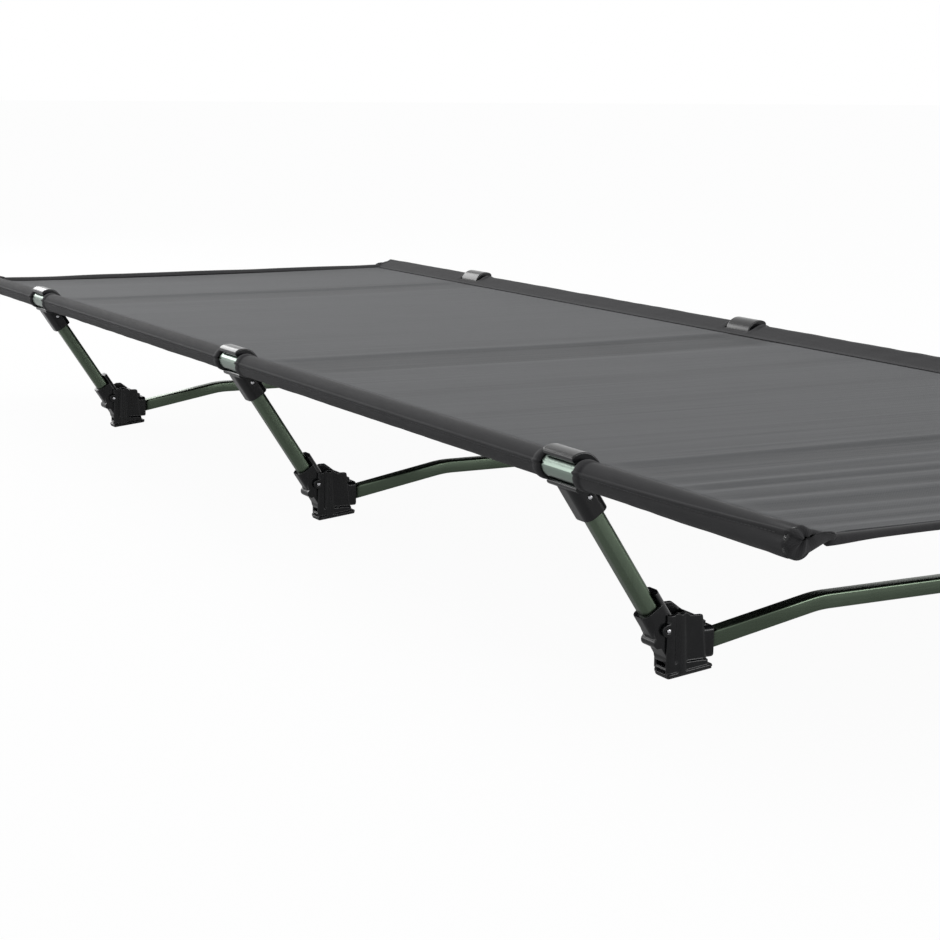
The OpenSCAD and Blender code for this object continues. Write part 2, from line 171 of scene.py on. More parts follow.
for name, place, aim, width, height, power in light_panels:
    data = bpy.data.lights.new(name, "AREA")
    data.shape = "RECTANGLE"
    data.size = width
    data.size_y = height
    data.energy = power
    panel = in_scene(name, data)
    panel.rotation_euler = (Vector(aim) - Vector(place)).to_track_quat("-Z", "Y").to_euler()
    panel.location = place
    panel.visible_camera = False

# ---- Side rails ----
# Each rail is five tubes of satin, green-tinted aluminium with ferrules inside
# their joints. The tubes are drawn, so faint lines run along them.
LEGS = ("head", "middle", "foot")
SIDES = {"left": -1, "right": 1}
rail_low, rail_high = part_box("left_rail_tubes")
rail_x = -(rail_low.x + rail_high.x) / 2
rail_z = (rail_low.z + rail_high.z) / 2
rail_radius = (rail_high.z - rail_low.z) / 2
rail_end = rail_high.y


def plus(tree, *terms):
    return worked(tree, "ADD", *terms)


def less(tree, *terms):
    return worked(tree, "SUBTRACT", *terms)


def new_tree(name, kind, inputs, outputs):
    """An empty node tree with its sockets. An input is its starting number, or its kind in a word."""
    made = bpy.data.node_groups.new(name, kind)
    for label, start in inputs.items():
        worded = isinstance(start, str)
        sort = start if worded else "Int" if isinstance(start, int) else "Float"
        socket = made.interface.new_socket(name=label, in_out="INPUT", socket_type="NodeSocket" + sort)
        if not worded:
            socket.default_value = start
    for label, sort in outputs.items():
        made.interface.new_socket(name=label, in_out="OUTPUT", socket_type="NodeSocket" + sort)
    return made, made.nodes.new("NodeGroupInput").outputs, made.nodes.new("NodeGroupOutput")


def noise_of(tree, vector, scale, detail, roughness=0.5):
    return added(tree, "ShaderNodeTexNoise", {"Scale": scale, "Detail": detail, "Roughness": roughness,
                                              "Vector": vector}).outputs["Fac"]


def stretched(tree, vector, factors):
    return added(tree, "ShaderNodeVectorMath", {0: vector, 1: factors}, operation="MULTIPLY").outputs[0]


# Drawn metal: fine lines along Y, with a little mottling left by the dye bath
drawn_metal, asked, given = new_tree("drawn_metal", "ShaderNodeTree", {"Vector": "Vector", "Fineness": 900.0},
                                     {"Shade": "Float", "Rough": "Float", "Height": "Float"})
along = stretched(drawn_metal, asked["Vector"], (1.0, 0.012, 1.0))
lines = noise_of(drawn_metal, along, asked["Fineness"], 3.0)
mottle = noise_of(drawn_metal, asked["Vector"], 22.0, 4.0)
line_part = times(drawn_metal, less(drawn_metal, lines, 0.5), 0.16)
mottle_part = times(drawn_metal, less(drawn_metal, mottle, 0.5), 0.14)
fed(drawn_metal, given, {
    "Shade": plus(drawn_metal, 1.0, plus(drawn_metal, line_part, mottle_part)),
    "Rough": plus(drawn_metal, times(drawn_metal, lines, 0.08), mottle_part),
    "Height": lines})

# Wear: 1 on sharp edges, broken up so that it comes and goes along them
edge_wear, asked, given = new_tree("edge_wear", "ShaderNodeTree",
                                   {"Vector": "Vector", "Pointiness": 0.5, "Start": 0.545}, {"Worn": "Float"})
sharp = times(edge_wear, less(edge_wear, asked["Pointiness"], asked["Start"]), 14.0)
broken = times(edge_wear, less(edge_wear, noise_of(edge_wear, asked["Vector"], 70.0, 3.0), 0.35), 3.0)
worn = added(edge_wear, "ShaderNodeClamp", {"Value": times(edge_wear, sharp, broken)})
fed(edge_wear, given, {"Worn": worn.outputs[0]})


def finish(name):
    """A material with its Principled shader, ready for its own nodes."""
    made = bpy.data.materials.new(name)
    made.use_nodes = True
    return made, made.node_tree, made.node_tree.nodes["Principled BSDF"]


def object_place(tree):
    return added(tree, "ShaderNodeTexCoord").outputs["Object"]


def tinted(tree, colour, shade, shader):
    """Base colour times a shade that changes over the surface."""
    node = added(tree, "ShaderNodeVectorMath", {0: colour, "Scale": shade}, operation="SCALE")
    tree.links.new(node.outputs[0], shader.inputs["Base Color"])


def bumped(tree, height, shader, distance, strength):
    node = added(tree, "ShaderNodeBump", {"Strength": strength, "Distance": distance, "Height": height})
    tree.links.new(node.outputs[0], shader.inputs["Normal"])


def metal_finish(name, colour, roughness, turned=(0.0, 0.0, 0.0)):
    """Anodised tube metal. turned is the rotation that lays the drawn lines along the tube."""
    made, tree, shader = finish(name)
    place = added(tree, "ShaderNodeMapping", {"Rotation": turned, "Vector": object_place(tree)})
    grain = added(tree, "ShaderNodeGroup", {"Vector": place.outputs[0]}, node_tree=drawn_metal).outputs
    tinted(tree, colour, grain["Shade"], shader)
    bumped(tree, grain["Height"], shader, 0.00002, 0.35)
    fed(tree, shader, {"Roughness": plus(tree, grain["Rough"], roughness), "Metallic": 1.0})
    return made


rail_metal = metal_finish("rail_metal", (0.21, 0.26, 0.225), 0.2)


def body_of_node(node):
    return next(body for body, names in frame["record"]["behaviour"]["bodies"].items() if node in names)


def mended(mesh, *jobs):
    """Runs bmesh jobs on a mesh and writes the result back to it."""
    work = bmesh.new()
    work.from_mesh(mesh)
    for job in jobs:
        job(work)
    work.to_mesh(mesh)
    work.free()


def joined_up(work):
    bmesh.ops.remove_doubles(work, verts=work.verts, dist=2e-6)
    bmesh.ops.dissolve_degenerate(work, edges=work.edges, dist=1e-6)


def merged_copy(node, name):
    """A CAD node's mesh in a new object, its loose triangles joined up."""
    mesh = frame["nodes"][node].data.copy()
    mesh.name = name
    mended(mesh, joined_up)
    mesh.materials.clear()
    return in_scene(name, mesh)


def shaded_round(piece):
    piece.data.shade_smooth()
    piece.data.set_sharp_from_angle(angle=math.radians(35))


def dressed(piece, node):
    """A finished piece takes its CAD node's place and rides its body."""
    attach(piece, body_of_node(node))
    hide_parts(node)


def drawn_tube(node, material):
    piece = merged_copy(node, node + "_drawn")
    shaded_round(piece)
    piece.data.materials.append(material)
    dressed(piece, node)


for side in SIDES:
    drawn_tube(side + "_rail_tubes", rail_metal)
    drawn_tube(side + "_rail_ferrules", rail_metal)

# ---- Shock cords ----
# An elastic cord runs through each rail and keeps its five tubes together. It is
# braided, so eight ridges wind along it.
cord_low, cord_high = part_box("left_shock_cord")
cord_radius = (cord_high.z - cord_low.z) / 2
cord_rings, cord_ribs = 900, 16
braid_ridges, braid_twist = 8, 260.0
cord_finish, tree, shader = finish("elastic_cord")
shade = plus(tree, 0.8, times(tree, noise_of(tree, object_place(tree), 900.0, 3.0), 0.4))
tinted(tree, (0.03, 0.03, 0.031), shade, shader)
shader.inputs["Roughness"].default_value = 0.8
for side, sign in SIDES.items():
    points, faces = [], []
    for i in range(cord_rings + 1):
        y = cord_low.y + (cord_high.y - cord_low.y) * i / cord_rings
        for k in range(cord_ribs):
            angle = 2 * math.pi * k / cord_ribs
            ridge = (math.cos(braid_ridges * (angle + y * braid_twist))
                     * math.cos(braid_ridges * (angle - y * braid_twist)))
            radius = cord_radius * (0.94 + 0.06 * ridge)
            points.append((sign * rail_x + radius * math.cos(angle), y, rail_z + radius * math.sin(angle)))
    for i in range(cord_rings):
        for k in range(cord_ribs):
            near, far, after = i * cord_ribs, (i + 1) * cord_ribs, (k + 1) % cord_ribs
            faces.append((far + k, far + after, near + after, near + k))
    faces.append(tuple(reversed(range(cord_ribs))))
    faces.append(tuple(range(cord_rings * cord_ribs, (cord_rings + 1) * cord_ribs)))
    mesh = bpy.data.meshes.new(side + "_shock_cord_braid")
    mesh.from_pydata(points, [], faces)
    mesh.shade_smooth()
    mesh.materials.append(cord_finish)
    dressed(in_scene(mesh.name, mesh), side + "_shock_cord")

# ---- Sleeves ----
# Dark woven pockets round the rails, sewn to the deck along one edge. Each is cut
# away round the three clips, and its cut edges are rolled over.
deck_low, deck_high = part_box("deck_panel")
seam_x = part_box("right_sleeve")[0].x
seam_reach = rail_x - seam_x
deck_z = (deck_low.z + deck_high.z) / 2
sleeve_radius = rail_radius + 0.0012
cloth_wall = 0.0008
half_gap = 0.0007
window_half = 0.0245
# The strip by the seam that runs on past the windows begins this far inside the rail's axis
strip_edge = 0.0185
lap = 0.005
fold_bulge = 0.0068
edge_roll, edge_tuck, pleat_depth = 0.0013, 0.0012, 0.0007
# Rows near a cut edge lie close together: how far each is from it
rows_by_edge = [0.0006, 0.0015, 0.003, 0.0045, 0.006, 0.0075, 0.0085, 0.0095]
leg_y = {leg: sum(v.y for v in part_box(leg + "_crossbar")) / 2 for leg in LEGS}

# Plain weave: threads over and under in both directions, each a little uneven
weave, asked, given = new_tree("plain_weave", "ShaderNodeTree",
                               {"Vector": "Vector", "Thread": 0.0011, "Contrast": 0.2, "Streaks": 0.0},
                               {"Shade": "Float", "Height": "Float", "Rough": "Float"})
turns = worked(weave, "DIVIDE", math.pi, asked["Thread"])
apart = added(weave, "ShaderNodeSeparateXYZ", {0: asked["Vector"]}).outputs
wander = times(weave, noise_of(weave, asked["Vector"], 60.0, 2.0), 2.4)
warp = worked(weave, "SINE", plus(weave, times(weave, apart[0], turns), wander))
weft = worked(weave, "SINE", plus(weave, times(weave, apart[1], turns), wander))
slubs = noise_of(weave, stretched(weave, asked["Vector"], (60.0, 900.0, 1.0)), 1.0, 3.0, 0.6)
picks = noise_of(weave, stretched(weave, asked["Vector"], (900.0, 45.0, 1.0)), 1.0, 3.0, 0.6)
rubbed = noise_of(weave, stretched(weave, asked["Vector"], (190.0, 11.0, 1.0)), 1.0, 3.0, 0.6)
threads = plus(weave, times(weave, times(weave, warp, weft), 0.5),
               times(weave, plus(weave, slubs, picks), 0.9))
fleck = times(weave, less(weave, threads, 0.9), asked["Contrast"])
cloudy = plus(weave, times(weave, less(weave, noise_of(weave, asked["Vector"], 9.0, 4.0), 0.5), 0.14),
              times(weave, less(weave, rubbed, 0.5), asked["Streaks"]))
fed(weave, given, {"Shade": plus(weave, 1.0, plus(weave, fleck, cloudy)), "Height": threads,
                   "Rough": times(weave, slubs, 0.2)})


def cloth_finish(name, colour, thread, contrast, depth, sheen, streaks=0.0, folds=None):
    """Woven cloth. Its pattern follows the piece's cloth map, which is in metres.
    folds names an attribute of painted light and shade: 1 on plain cloth, less in painted shade, more under
    painted highlights."""
    made, tree, shader = finish(name)
    place = added(tree, "ShaderNodeUVMap", uv_map="cloth").outputs[0]
    threads = added(tree, "ShaderNodeGroup", {"Vector": place, "Thread": thread, "Contrast": contrast,
                                              "Streaks": streaks}, node_tree=weave).outputs
    shade, height = threads["Shade"], threads["Height"]
    if folds:
        # the deck's painted shade and painted highlights, read from its attribute
        painted_shading_node = added(tree, "ShaderNodeAttribute", attribute_name=folds)
        # fine ripples run straight across, closest together by the foot end
        ripples = less(tree, noise_of(tree, stretched(tree, place, (2.2, 150.0, 1.0)), 1.0, 4.0, 0.62), 0.5)
        height = plus(tree, height, times(tree, ripples, 9.0))
        # the fine ripples are also painted lighter where their bump rises and darker where it falls: painted
        # light and shade
        shade = plus(tree, times(tree, shade, painted_shading_node.outputs["Fac"]), times(tree, ripples, 0.3))
    tinted(tree, colour, shade, shader)
    bumped(tree, height, shader, depth, 0.8)
    fed(tree, shader, {"Roughness": plus(tree, threads["Rough"], 0.7), "Specular IOR Level": 0.2,
                       "Sheen Weight": sheen, "Sheen Roughness": 0.5})
    return made


sleeve_cloth = cloth_finish("sleeve_cloth", (0.0285, 0.028, 0.0295), 0.0011, 0.4, 0.00009, 0.07, streaks=0.6)


def bare_points_gone(work):
    bmesh.ops.delete(work, geom=[v for v in work.verts if not v.link_faces], context="VERTS")


def walled(piece, name, wall, offset):
    """A thickness, centred on the surface at offset 0 and inside it at -1."""
    solid = piece.modifiers.new(name, "SOLIDIFY")
    solid.thickness = wall
    solid.offset = offset


def cloth_grid(name, rows, map_rows, material, wall, closed=False, keep=None):
    """A sheet through rows of points, with its cloth map in metres and its thickness."""
    across = len(rows[0])
    points = [p for row in rows for p in row]
    spots = [p for row in map_rows for p in row]
    faces = []
    for i in range(len(rows) - 1):
        for k in range(across if closed else across - 1):
            near, far, after = i * across, (i + 1) * across, (k + 1) % across
            if keep is None or keep(i, k):
                faces.append((near + k, near + after, far + after, far + k))
    mesh = bpy.data.meshes.new(name)
    mesh.from_pydata(points, [], faces)
    cloth_map = mesh.uv_layers.new(name="cloth")
    corners = np.zeros(len(mesh.loops), np.int32)
    mesh.loops.foreach_get("vertex_index", corners)
    cloth_map.data.foreach_set("uv", np.array(spots, np.float32)[corners].ravel())
    mended(mesh, bare_points_gone)
    mesh.shade_smooth()
    mesh.materials.append(material)
    piece = in_scene(name, mesh)
    if wall:
        walled(piece, "thickness", wall, 0.0)
    return piece


def sleeve_section(steps_round):
    """Distance round the pocket and (outward, up) from the rail's axis, top seam first."""
    touch = math.pi - math.acos(sleeve_radius / seam_reach)
    top = [(-seam_reach - lap, half_gap + 0.0003), (-seam_reach - lap / 2, half_gap + 0.0004),
           (-seam_reach, half_gap + 0.0003)]
    for share in (0.2, 0.4, 0.6, 0.8):
        top.append((-seam_reach + share * (seam_reach + sleeve_radius * math.cos(touch)),
                    half_gap + share * (sleeve_radius * math.sin(touch) - half_gap)))
    arc = [(sleeve_radius * math.cos(a), sleeve_radius * math.sin(a))
           for a in np.linspace(touch, -touch, steps_round)]
    section = top + arc + [(x, -z) for x, z in reversed(top)]
    length = [0.0]
    for a, b in zip(section, section[1:]):
        length.append(length[-1] + math.dist(a, b))
    return list(zip(length, section))


def seam_angle(y):
    """Where the felled seam runs on the pocket's outer side. It climbs near the foot end."""
    return 14.0 + 30.0 * max(0.0, min(1.0, (-y - 0.66) / 0.27)) ** 2


def sleeve_wrinkle(y, length, outward, up, seed):
    """How far the cloth stands off, in metres: soft folds, puckers by the seam, the felled seam."""
    soft = noise.noise(Vector((length * 30.0, y * 14.0, seed)))
    drawn = noise.noise(Vector((length * 60.0 + y * 45.0, y * 9.0, seed + 5.0)))
    by_seam = math.exp(-((-outward - seam_reach) / 0.006) ** 2)
    pucker = math.sin(y * 420.0 + 3.0 * noise.noise(Vector((y * 25.0, 0.0, seed)))) * by_seam
    felled = 0.0
    if outward > 0:
        angle = math.degrees(math.atan2(up, outward)) - seam_angle(y)
        felled = math.exp(-(angle / 4.5) ** 2) - 0.5 * math.exp(-((angle + 12.0) / 6.0) ** 2)
    return 0.0004 * soft + 0.0003 * drawn + 0.0004 * pucker + 0.0013 * felled


section = sleeve_section(76)
windows = [(leg_y[leg] - window_half, leg_y[leg] + window_half) for leg in reversed(LEGS)]
# Parts along a sleeve: cloth on the even ones, and windows on the odd ones
stops = [-rail_end] + [edge for pair in windows for edge in pair] + [rail_end]
for side, sign in SIDES.items():
    stations = []
    for part in range(7):
        low, high = stops[part], stops[part + 1]
        if part % 2 == 0:
            count = max(2, round((high - low) / 0.0055))
            inner = list(np.linspace(low + 0.012, high - 0.012, count))
            ys = ([low] + [low + n for n in rows_by_edge] + inner
                  + [high - n for n in reversed(rows_by_edge)] + [high])
        else:
            ys = np.linspace(low, high, 9)[1:-1]
        stations += [(y, part) for y in ys]
    # beyond the rail's ends the pocket is folded shut over the end caps
    shut = (0.2, 0.4, 0.6, 0.78, 0.92, 1.0)
    closing = {end * (rail_end + fold_bulge * math.sin(t * math.pi / 2)): t for end in (-1, 1) for t in shut}
    stations = sorted([(y, 0 if y < 0 else 6) for y in closing] + stations)
    rows, map_rows = [], []
    for y, part in stations:
        row, spots = [], []
        low, high = stops[part], stops[part + 1]
        from_end = min(y - low, high - y) if part % 2 == 0 else 0.02
        if abs(y) > rail_end - 0.012:
            from_end = 0.02
        shut_by = closing.get(y, 0.0)
        rolled = 0.0
        if from_end < 0.0091:
            rolled = edge_roll * math.sqrt(max(0.0, 1.0 - ((from_end - 0.0045) / 0.0046) ** 2))
        tucked = edge_tuck * max(0.0, 1.0 - from_end / 0.0015) if part % 2 == 0 else 0.0
        near_end = max(0.0, 1.0 - (rail_end - abs(y)) / 0.03) if abs(y) < rail_end else 1.0
        open_by = math.cos(shut_by * math.pi / 2)
        for length, (outward, up) in section:
            off = sleeve_wrinkle(y, length, outward, up, 3.0 * sign)
            radius = math.hypot(outward, up)
            # the pocket's flat edge stays flat; only its round part is rolled at the windows
            round_share = min(1.0, max(0.0, (0.0145 - radius) / 0.003))
            scale = 1.0 + (off + (rolled - tucked) * round_share) / radius
            # by the end the cloth gathers in pleats, and then closes to a short slit
            bearing = math.atan2(up, outward)
            pleat = pleat_depth * near_end * math.sin(7.0 * bearing + 1.3) * round_share
            scale += pleat / radius
            out_now = outward * scale * (0.3 + 0.7 * open_by) - 0.002 * shut_by
            up_now = up * scale * (0.07 + 0.93 * open_by) + (0.0035 - 0.25 * out_now) * shut_by
            row.append((sign * (rail_x + out_now), y + 0.0012 * shut_by * math.sin(5.0 * bearing),
                        rail_z + up_now))
            spots.append((length, y))
        rows.append(row)
        map_rows.append(spots)

    def outside_windows(i, k, stations=stations):
        in_window = stations[i][1] % 2 == 1 or stations[i + 1][1] % 2 == 1
        middle = (section[k][1][0] + section[k + 1][1][0]) / 2
        return not in_window or middle < -strip_edge

    sleeve = cloth_grid(side + "_sleeve_cloth", rows, map_rows, sleeve_cloth, cloth_wall,
                        keep=outside_windows)
    if sign < 0:
        sleeve.data.flip_normals()
    dressed(sleeve, side + "_sleeve")

# ---- Deck panel ----
# One long grey woven sheet between the sleeves, pulled tight by the legs. It
# creases crosswise beside each leg, and ripples where it nears the foot end.
deck_cloth = cloth_finish("deck_cloth", (0.104, 0.106, 0.109), 0.0012, 0.22, 0.0001, 0.05, folds="folds")
deck_wall = 0.0011
deck_sag = 0.0012
# Creases by leg: where they begin, from the leg towards the foot end, and how deep they go
leg_creases = {"head": (0.0, 0.075, 0.0016), "middle": (0.012, 0.098, 0.0026), "foot": (0.002, 0.052, 0.0021)}
# Ripples of the slack stretch by the foot end: distance from its edge, half width, height
foot_ripples = ((0.010, 0.006, 0.0014), (0.026, 0.006, -0.0010), (0.040, 0.006, 0.0007), (0.063, 0.008, 0.0018),
                (0.080, 0.010, -0.0015), (0.104, 0.008, 0.0016), (0.124, 0.008, -0.0012), (0.142, 0.009, 0.0009),
                (0.160, 0.005, -0.0008), (0.172, 0.006, 0.0010), (0.188, 0.007, -0.0009), (0.210, 0.008, 0.0010))
# Painted shade bands by the leg creases and head end: place along Y, half width, edge softness, how much darker
painted_shade_bands = ((0.645, 0.044, 0.010, 0.15), (0.033, 0.009, 0.006, 0.10), (-0.058, 0.047, 0.004, 0.26),
                 (-0.26, 0.014, 0.007, 0.11), (-0.392, 0.011, 0.007, 0.08), (-0.688, 0.024, 0.0025, 0.15),
                 (0.93, 0.05, 0.02, 0.3))
# Painted highlight on the foot ripples' crests and painted shade in their hollows, per metre of rise
painted_crest_light = 85.0


def deck_height(x, y):
    """How far the stretched sheet lies above its plane at a point."""
    across = x / seam_x
    height = -deck_sag * (1.0 - across * across)
    from_foot = y - deck_low.y
    sway = 0.006 * noise.noise(Vector((x * 4.0, y * 0.8, 1.7)))
    for leg, (start, length, depth) in leg_creases.items():
        along = (leg_y[leg] - start - y + sway) / length
        height -= depth * (1.0 / (1.0 + math.exp(-16.0 * along)) - 1.0 / (1.0 + math.exp(-16.0 * (along - 1.0))))
        height += 0.35 * depth * math.exp(-((along + 0.12) / 0.1) ** 2)
    uneven = 0.75 + 0.5 * noise.noise(Vector((x * 7.0, y * 3.0, 8.1)))
    for place, half, rise in foot_ripples:
        height += rise * uneven * math.exp(-((from_foot - place + 0.6 * sway) / half) ** 2)
    # the sheet lifts a little where it meets the foot hem, and dips behind the head hem
    height += (-0.0003 if y > 0 else 0.0014) * math.exp(-(deck_high.y - abs(y)) / 0.02)
    # fine crosswise ripples, fading out towards the head end
    slack = 0.1 + 0.9 * max(0.0, 1.0 - from_foot / 0.95) ** 1.3
    fine = noise.noise(Vector((x * 3.5, y * 75.0, 4.4))) + 0.6 * noise.noise(Vector((x * 6.0, y * 170.0, 9.2)))
    height += 0.0005 * slack * fine
    broad = noise.noise(Vector((x * 3.0, y * 14.0, 6.3)))
    # sewn down flat between the sleeve's laps along both sides
    free = max(0.0, min(1.0, (seam_x - lap - abs(x)) / 0.022))
    return (height + 0.0006 * broad) * free * free * (3.0 - 2.0 * free)


def painted_deck_shading(x, y):
    """1 on plain cloth, less in bands of painted shade, with painted light on the ripples' crests and painted
    shade in their hollows.
    """
    shade = 1.0
    slant = 0.012 * x / seam_x + 0.006 * noise.noise(Vector((x * 4.0, y * 0.8, 1.7)))
    for place, half, soft, darker in painted_shade_bands:
        edge = (half - abs(y - place - slant)) / soft
        cover = 1.0 / (1.0 + math.exp(-max(-30.0, min(30.0, edge))))
        streak = noise.noise(Vector((x * 2.5, y * 130.0, 2.2)))
        patch = noise.noise(Vector((x * 9.0, y * 6.0, 7.7)))
        shade -= darker * cover * (1.0 + 0.35 * streak + 0.35 * patch)
    for place, half, rise in foot_ripples:
        shade += painted_crest_light * rise * math.exp(-((y - deck_low.y - place + 0.5 * slant) / half) ** 2)
    return shade


deck_columns, deck_ranks = 48, 900
xs = np.linspace(deck_low.x - 0.0002, deck_high.x - 0.0002, deck_columns + 1)
ys = np.linspace(deck_low.y, deck_high.y, deck_ranks + 1)
rows = [[(x, y, deck_z + deck_height(x, y)) for x in xs] for y in ys]
map_rows = [[(x, y) for x in xs] for y in ys]
deck = cloth_grid("deck_panel_cloth", rows, map_rows, deck_cloth, deck_wall)
# the deck's painted shade and crest highlights, one value per point
folds = deck.data.attributes.new("folds", "FLOAT", "POINT")
folds.data.foreach_set("value", [painted_deck_shading(x, y) for y in ys for x in xs])
dressed(deck, "deck_panel")

# The lever's pivot pin, and the angle and length of the arm from it to the rail's axis
pin_x, pin_z = 0.2365, 0.0393
arm_angle = math.atan2(rail_x - pin_x, rail_z - pin_z)
arm_length = math.hypot(rail_x - pin_x, rail_z - pin_z)

# ---- End hems ----
# The deck's two ends are folded over and stitched into a thick dark band, which
# waves a little between the corners.
hem_steps, hem_round = 150, 22
hem_cloth_round = 0.036


def ends_closed(work):
    bmesh.ops.holes_fill(work, edges=[e for e in work.edges if e.is_boundary])


hems = []
for end, sign in (("head", 1), ("foot", -1)):
    low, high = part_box(end + "_hem")
    depth, height = high.y - low.y, high.z - low.z
    edge_y = low.y if sign > 0 else high.y
    rows, map_rows = [], []
    for i in range(hem_steps + 1):
        x = low.x + (high.x - low.x) * i / hem_steps
        at_corner = math.exp(-(min(x - low.x, high.x - x) / 0.028) ** 2)
        # the head hem rolls up a little, and the foot hem hangs at its corners
        lift = 0.0011 if sign > 0 else -0.0005 - 0.0018 * at_corner
        droop = 0.0014 * noise.noise(Vector((x * 9.0, 2.0 * sign, 0.4))) + lift
        swell = (1.75 if sign > 0 else 1.2) + 0.2 * noise.noise(Vector((x * 16.0, 5.0 * sign, 3.3)))
        swell += 0.25 * at_corner
        row, spots = [], []
        for k in range(hem_round):
            angle = 2 * math.pi * k / hem_round
            outward = (0.5 - 0.5 * math.cos(angle)) ** 0.85
            fat = 0.32 + 0.68 * outward
            up = math.sin(angle) * height * 0.5 * fat * swell
            if up > 0:
                up *= 0.95
            row.append((x, edge_y + sign * (outward * depth - 0.002), deck_z + up + droop * outward))
            spots.append((x, k / hem_round * hem_cloth_round))
        rows.append(row)
        map_rows.append(spots)
    hem = cloth_grid(end + "_hem_cloth", rows, map_rows, sleeve_cloth, 0.0, closed=True)
    if sign > 0:
        hem.data.flip_normals()
    mended(hem.data, ends_closed)
    dressed(hem, end + "_hem")
    hems.append(hem)
for piece in [deck] + hems:
    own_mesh(piece)

# ---- Crossbars ----
# One bow of rounded square tube in each leg, dark green anodised, bent twice so
# that its middle clears the ground.
leg_green = (0.108, 0.140, 0.102)
leg_wall = 0.0013


def socket_of(tree, label):
    return next(s.identifier for s in tree.interface.items_tree if s.name == label and s.in_out == "INPUT")


def grown(tree, name, values, lines=()):
    """The plain mesh that a geometry tree makes with these values, and along these lines."""
    spots, joins = [], []
    for line in lines:
        joins += [(len(spots) + k, len(spots) + k + 1) for k in range(len(line) - 1)]
        spots += line
    seed_mesh = bpy.data.meshes.new("seed")
    seed_mesh.from_pydata(spots, joins, [])
    seed = in_scene("seed", seed_mesh)
    maker = seed.modifiers.new("maker", "NODES")
    maker.node_group = tree
    for label, value in values.items():
        maker[socket_of(tree, label)] = value
    graph = bpy.context.evaluated_depsgraph_get()
    mesh = bpy.data.meshes.new_from_object(seed.evaluated_get(graph))
    mesh.name = name
    bpy.data.objects.remove(seed)
    return in_scene(name, mesh)


def painted(tree, shape, asked, given):
    """Ends a geometry tree with its shape made real, in the material it was given."""
    real = added(tree, "GeometryNodeRealizeInstances", {0: shape})
    coated = added(tree, "GeometryNodeSetMaterial", {"Geometry": real.outputs[0],
                                                     "Material": asked["Material"]})
    fed(tree, given, {"Geometry": coated.outputs[0]})


def faces_outward(work):
    bmesh.ops.recalc_face_normals(work, faces=work.faces)


bow_tree, asked, given = new_tree("bow_tube", "GeometryNodeTree", {
    "Reach": 0.21, "Flat": 0.08, "Height": 0.044, "Slope": 0.17, "Bend": 0.12, "Size": 0.014, "Corner": 0.003,
    "Material": "Material"}, {"Geometry": "Geometry"})
line = added(bow_tree, "GeometryNodeMeshLine", {"Count": 4})
to_curve = added(bow_tree, "GeometryNodeMeshToCurve", {0: line.outputs[0]})
# points 0 and 3 are the bow's ends, and points 1 and 2 its bends
from_middle = less(bow_tree, added(bow_tree, "GeometryNodeInputIndex").outputs[0], 1.5)
handed = worked(bow_tree, "SIGN", from_middle)
is_end = worked(bow_tree, "GREATER_THAN", worked(bow_tree, "ABSOLUTE", from_middle), 1.0)
run = less(bow_tree, asked["Reach"], asked["Flat"])
point_x = plus(bow_tree, asked["Flat"], times(bow_tree, is_end, run))
drop = times(bow_tree, is_end, times(bow_tree, run, worked(bow_tree, "TANGENT", asked["Slope"])))
spot = added(bow_tree, "ShaderNodeCombineXYZ", {0: times(bow_tree, handed, point_x),
                                                2: less(bow_tree, asked["Height"], drop)})
placed = added(bow_tree, "GeometryNodeSetPosition", {"Geometry": to_curve.outputs[0],
                                                     "Position": spot.outputs[0]})
bends = added(bow_tree, "GeometryNodeFilletCurve",
              {"Count": 14, "Curve": placed.outputs[0], "Radius": asked["Bend"]}, mode="POLY")
upright = added(bow_tree, "GeometryNodeSetCurveNormal", {"Curve": bends.outputs[0]}, mode="Z_UP")
square = added(bow_tree, "GeometryNodeCurvePrimitiveQuadrilateral", {"Width": asked["Size"],
                                                                     "Height": asked["Size"]})
rounded = added(bow_tree, "GeometryNodeFilletCurve",
                {"Count": 6, "Curve": square.outputs[0], "Radius": asked["Corner"]}, mode="POLY")
swept = added(bow_tree, "GeometryNodeCurveToMesh", {"Curve": upright.outputs[0],
                                                    "Profile Curve": rounded.outputs[0]})
painted(bow_tree, swept.outputs[0], asked, given)

bow_metal = metal_finish("crossbar_metal", leg_green, 0.24, turned=(0.0, 0.0, math.radians(90)))
bow_low, bow_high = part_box("middle_crossbar")
bow_size = bow_high.y - bow_low.y
for leg in LEGS:
    bow = grown(bow_tree, leg + "_crossbar_tube", {
        "Reach": bow_high.x - 0.0012, "Flat": 0.0825, "Height": bow_high.z - bow_size / 2,
        "Slope": math.radians(10), "Bend": 0.12, "Size": bow_size, "Corner": 0.0024, "Material": bow_metal})
    bow.data.transform(Matrix.Translation((0.0, leg_y[leg], 0.0)))
    mended(bow.data, faces_outward)
    shaded_round(bow)
    walled(bow, "wall", leg_wall, -1.0)
    dressed(bow, leg + "_crossbar")

# ---- Struts ----
# Six straight tubes with well-rounded corners, in the same green. Each leans
# outwards from its lever up to its clip.
strut_low, strut_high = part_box("middle_left_strut")
strut_size = strut_high.y - strut_low.y
strut_corner = 0.0045
strut_offset = 0.001
strut_top, strut_foot = 0.0154, arm_length + 0.007
strut_metals = {side: metal_finish("strut_metal_" + side, leg_green, 0.26, turned=(math.radians(90), 0.0, 0.0))
                for side in SIDES}
outline = []
for quarter, (toward_x, toward_y) in enumerate(((1, 1), (-1, 1), (-1, -1), (1, -1))):
    for step in range(7):
        angle = math.radians(90 * quarter + 15 * step)
        inset = strut_size / 2 - strut_corner
        outline.append((strut_offset + inset * toward_x + strut_corner * math.cos(angle),
                        inset * toward_y + strut_corner * math.sin(angle)))


def strut_welded(work):
    bmesh.ops.remove_doubles(work, verts=work.verts, dist=1e-6)


